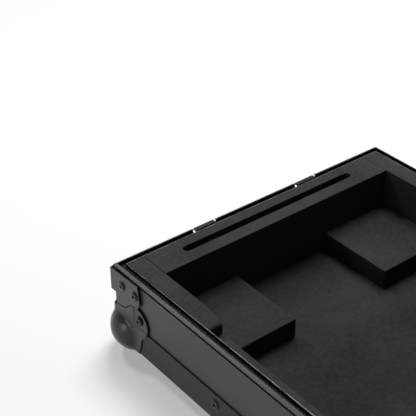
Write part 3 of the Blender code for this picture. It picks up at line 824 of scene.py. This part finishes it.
def rivetShape(spec):
    work = bmesh.new()
    radius, height, hole, lip = (spec[name] for name in ("radius", "height", "hole", "lip"))
    bottom = height - spec["holeDepth"]
    profile = [(0.0, bottom + lip), (hole * spec["pin"], bottom)]
    profile += [(hole, bottom), (hole, height * spec["wall"]), (hole + lip, height)]
    span = radius - hole - lip
    for step in range(1, spec["domeSteps"] + 1):
        turn = math.radians(90) * step / spec["domeSteps"]
        fall = spec["skirt"] + (1 - spec["skirt"]) * math.cos(turn)
        profile.append((hole + lip + span * math.sin(turn), height * fall))
    profile.append((radius, -spec["sunk"]))
    verts = [work.verts.new((x, 0, z)) for x, z in profile]
    edges = [work.edges.new(pair) for pair in zip(verts, verts[1:])]
    bmesh.ops.spin(
        work,
        geom=verts + edges,
        cent=(0, 0, 0),
        axis=(0, 0, 1),
        angle=math.tau,
        steps=spec["steps"],
        use_merge=True,
    )
    bmesh.ops.remove_doubles(work, verts=work.verts, dist=closeness["merge"])
    openEdges = [edge for edge in work.edges if edge.is_boundary]
    bmesh.ops.holes_fill(work, edges=openEdges, sides=0)
    bmesh.ops.recalc_face_normals(work, faces=work.faces)
    return work


def addRivets(name, places, spec=rivet):
    work = bmesh.new()
    shape = rivetShape(spec)
    mesh = bpy.data.meshes.new("rivetShape")
    shape.to_mesh(mesh)
    shape.free()
    for place in places:
        count = len(work.verts)
        work.from_mesh(mesh)
        work.verts.ensure_lookup_table()
        bmesh.ops.transform(work, matrix=place, verts=work.verts[count:])
    bpy.data.meshes.remove(mesh)
    asPiece(name, work, "steel", smoothAngle=spec["smoothAngle"])


cornerRivets = {
    "braceAlong": (0.0158, 0.0348),
    "braceBelowRim": 0.0155,
    "ballIn": 0.040,         # in from each edge of the ball corner's plates
}


def cornerPlaces(corner):
    # Rivet places on the two upright faces and the underside at one corner.
    brace, ball = [], []
    inset = cornerRivets["ballIn"]
    names = corner.split("_")
    for side, spec in sides.items():
        if side not in names:
            continue
        sign = spec["towards"][names[1 - names.index(side)]]
        height = case["rimTop"] - cornerRivets["braceBelowRim"]
        for along in cornerRivets["braceAlong"]:
            brace.append(sidePlace(side, sign * (spec["reach"] - along), case["skinProud"], height))
        height = case["underside"] + inset
        ball.append(sidePlace(side, sign * (spec["reach"] - inset), case["skinProud"], height))
    under = Matrix.Translation((*cornerPoint(corner, inset), case["underside"] - case["skinProud"]))
    ball.append(under @ Matrix.Rotation(math.pi, 4, "X"))
    return brace, ball


for corner in corners:
    bracePlaces, ballPlaces = cornerPlaces(corner)
    addRivets("rivets_brace_" + corner, bracePlaces)
    addRivets("rivets_ball_" + corner, ballPlaces)

angleRivets = {
    "shortShare": 1 / 3,     # front and back: from the middle, as a share of half the side
    "longIn": 0.144,         # left and right: in from the corner
    "above": 0.0193,
}

for side, spec in sides.items():
    along = spec["reach"] - angleRivets["longIn"]
    if spec["axis"] == 0:
        along = spec["reach"] * angleRivets["shortShare"]
    height = case["underside"] + angleRivets["above"]
    addRivets("rivets_angle_" + side, [sidePlace(side, sign * along, 0, height) for sign in (-1, 1)])

dishRivets = {
    "latch": (0.0245, 0.0175),   # along and up from the middle of the dish
    "handle": (0.0525, 0.0172),
    "proud": 0.0002,
    "latchFromMiddle": 0.062,
}


def dishPlaces(side, centre, spread):
    # Rivet places at the four corners of a dish's flange.
    along, up = spread
    return [
        sidePlace(side, centre + dx * along, dishRivets["proud"], case["bandHeight"] + dz * up)
        for dx in (-1, 1) for dz in (-1, 1)
    ]


for latch in latches:
    side, hand = latch.split("_")
    centre = dishRivets["latchFromMiddle"] * sides[side]["towards"][hand]
    addRivets("rivets_latch_" + latch, dishPlaces(side, centre, dishRivets["latch"]), smallRivet)
addRivets("rivets_handle", dishPlaces("right", 0, dishRivets["handle"]), smallRivet)
print("rivets set")


# Floor, lamps and world

light = {
    "keyPlace": (0.50, 0.46, 1.55),
    "keySize": 0.8,
    "keyPower": 26.0,
    "rimPlace": (-0.30, 1.60, 1.90),
    "rimSize": 0.45,
    "rimPower": 16.0,
    "sidePlace": (-1.80, 0.25, 0.30),
    "sideSize": 0.7,
    "sidePower": 5.5,
    "aim": (0, 0, 0.05),
    "ambient": 0.04,
    "floorSize": 9.0,
    "floorTone": 0.88,
    "floorLift": 0.34,       # how much of the floor is plain white for the camera
    "dimFrom": 0.05,         # the room seen in gloss is white up to this height of the direction,
    "dimTo": 0.45,           # and falls to the lower tone by this one
    "dimTone": 0.12,
}
white = (1, 1, 1, 1)


def addSoftbox(name, place, aim, size, power):
    data = bpy.data.lights.new(name, "AREA")
    data.shape = "SQUARE"
    data.size = size
    data.energy = power
    item = bpy.data.objects.new(name, data)
    scene.collection.objects.link(item)
    item.location = place
    item.rotation_euler = (Vector(aim) - Vector(place)).to_track_quat("-Z", "Y").to_euler()


def floorFinish(name, spec):
    finish = newFinish(name)
    tone = spec["floorTone"]
    seen = finish.rays("Camera") + finish.rays("Glossy")
    plain = finish.node("ShaderNodeBsdfDiffuse", None, {"Color": (tone, tone, tone, 1)})
    lifted = finish.node("ShaderNodeEmission", None, {"Color": white, "Strength": 1.0})
    return finish.show(finish.blend(seen * spec["floorLift"], plain, lifted))


def roomFinish(name, spec):
    # White for the camera, dimmer upwards where gloss mirrors it, and faint as a light.
    room = Finish(bpy.data.worlds.new(name), "ShaderNodeOutputWorld")
    height = room.along("Z", room.node("ShaderNodeTexCoord", out="Generated"))
    fall = {0: height, 1: spec["dimFrom"], 2: spec["dimTo"], 3: 1.0, 4: spec["dimTone"]}
    dim = room.node("ShaderNodeMapRange", None, fall)
    faint = room.node("ShaderNodeBackground", None, {"Color": white, "Strength": spec["ambient"]})
    mirrored = room.node("ShaderNodeBackground", None, {"Color": dim})
    plain = room.node("ShaderNodeBackground", None, {"Color": white})
    glossy = room.rays("Glossy")
    both = glossy.sum("MAXIMUM", glossy, room.rays("Transmission"))
    return room.show(room.blend(room.rays("Camera"), room.blend(both, faint, mirrored), plain))


def addStage(spec):
    work = bmesh.new()
    bmesh.ops.create_grid(work, x_segments=1, y_segments=1, size=spec["floorSize"])
    mesh = bpy.data.meshes.new("paleFloor")
    work.to_mesh(mesh)
    work.free()
    mesh.materials.append(floorFinish("paleFloor", spec))
    floor = bpy.data.objects.new("paleFloor", mesh)
    scene.collection.objects.link(floor)
    for name in ("key", "rim", "side"):
        place, size, power = (spec[name + kind] for kind in ("Place", "Size", "Power"))
        addSoftbox(name + "Softbox", place, spec["aim"], size, power)
    scene.world = roomFinish("paleRoom", spec)


addCamera(camera)
addStage(light)
scene.view_settings.view_transform = "Standard"
print("stage set")
